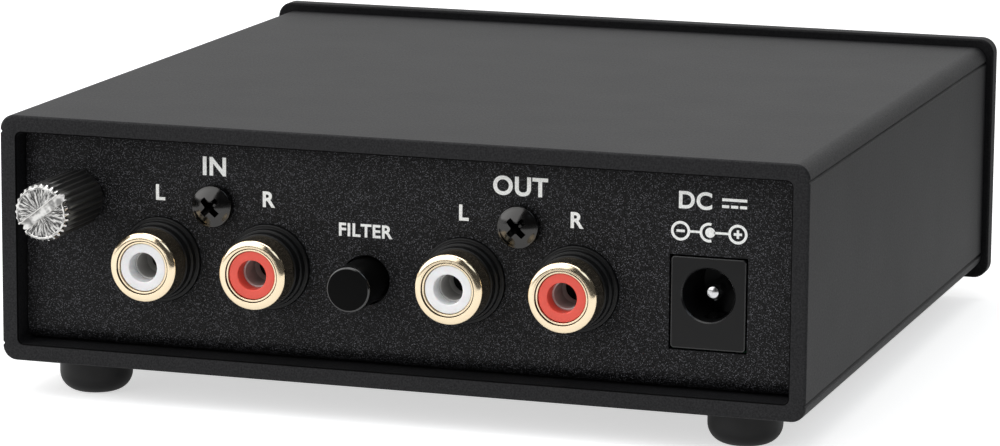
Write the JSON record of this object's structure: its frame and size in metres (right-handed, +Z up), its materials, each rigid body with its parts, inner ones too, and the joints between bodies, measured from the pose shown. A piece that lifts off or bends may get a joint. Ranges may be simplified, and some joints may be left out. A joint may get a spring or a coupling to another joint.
{
  "type": "phono preamplifier",
  "caption": "Small phono preamplifier in a black sleeve casing, with gold phono sockets, a filter button, a thumb screw for ground and a low-voltage inlet at the rear.",
  "frame": {"origin": "on the surface the feet stand on, under the middle of the whole object", "axes": "+Z up; +Y towards the sockets at the rear; -Y towards the front plate; +X towards the ground screw, which is on the left as seen from behind"},
  "size_m": [0.103, 0.109, 0.0361],
  "materials": {
    "case_coat": "fine matt black powder coat",
    "plate_coat": "satin black coat",
    "panel_coat": "textured black powder coat with fine sparkle",
    "foot_rubber": "matt black rubber",
    "black_moulding": "satin black moulded plastic",
    "button_black": "satin black plastic with a polished rim",
    "gold_plate": "bright gold plating",
    "contact_plate": "thin gold plating",
    "insulator_white": "white plastic",
    "insulator_red": "red plastic",
    "dark_nickel": "black nickel plating, glossy",
    "bright_nickel": "bright nickel with turning marks",
    "zinc_steel": "zinc plated",
    "tin_plate": "tin plated",
    "board_green": "green solder mask",
    "chip_black": "matt epoxy",
    "can_sleeve": "shrink sleeve",
    "film_red": "dipped film capacitor",
    "resistor_tan": "lacquer with colour bands",
    "switch_white": "natural nylon",
    "led_lens": "clear pale blue lens"
  },
  "bodies": {
    "preamp": {"casing": "case_coat", "casing_screws": "dark_nickel", "casing_nuts": "zinc_steel", "front_panel": "plate_coat", "front_panel_screws": "zinc_steel", "chassis": "panel_coat", "board_standoffs": "zinc_steel", "board_screws": "zinc_steel", "circuit_board": "board_green", "power_inlet_body": "black_moulding", "power_inlet_pin": "tin_plate", "power_inlet_spring": "tin_plate", "filter_switch_body": "chip_black", "filter_switch_pins": "tin_plate", "filter_switch_spring": "tin_plate", "ground_nut": "zinc_steel", "op_amps": "chip_black", "transistors": "chip_black", "film_capacitors": "film_red", "electrolytic_capacitors": "can_sleeve", "resistors": "resistor_tan", "voltage_regulator": "chip_black", "protection_diode": "chip_black", "power_led": "led_lens", "foot_rear_left": "foot_rubber", "foot_rear_right": "foot_rubber", "foot_front_left": "foot_rubber", "foot_front_right": "foot_rubber", "input_jack_block": "black_moulding", "input_jack_screw": "dark_nickel", "input_left_shell": "gold_plate", "input_left_insulator": "insulator_white", "input_left_contact": "contact_plate", "input_right_shell": "gold_plate", "input_right_insulator": "insulator_red", "input_right_contact": "contact_plate", "output_jack_block": "black_moulding", "output_jack_screw": "dark_nickel", "output_left_shell": "gold_plate", "output_left_insulator": "insulator_white", "output_left_contact": "contact_plate", "output_right_shell": "gold_plate", "output_right_insulator": "insulator_red", "output_right_contact": "contact_plate"},
    "filter_button": {"filter_button": "button_black", "filter_switch_plunger": "switch_white"},
    "ground_clamp": {"ground_washer": "bright_nickel"},
    "ground_thumb_screw": {"ground_screw": "bright_nickel"}
  },
  "joints": [
    {"name": "filter_press", "type": "slide", "parent": "preamp", "child": "filter_button", "axis": [0, -1, 0], "range_m": [0, 0.0025], "stiffness_N_per_m": 400, "springref_m": -0.001, "deforming": ["filter_switch_spring"]},
    {"name": "ground_screw_travel", "type": "slide", "parent": "preamp", "child": "ground_clamp", "axis": [0, 1, 0], "range_m": [0, 0.0028]},
    {"name": "ground_screw_turn", "type": "hinge", "parent": "ground_clamp", "child": "ground_thumb_screw", "pos_m": [0.04135, 0.0428, 0.02495], "axis": [0, 1, 0], "range_deg": [0, 1444]}
  ],
  "couplings": [
    {"joint": "ground_screw_turn", "follows": "ground_screw_travel", "rad_per_m": 8976}
  ]
}
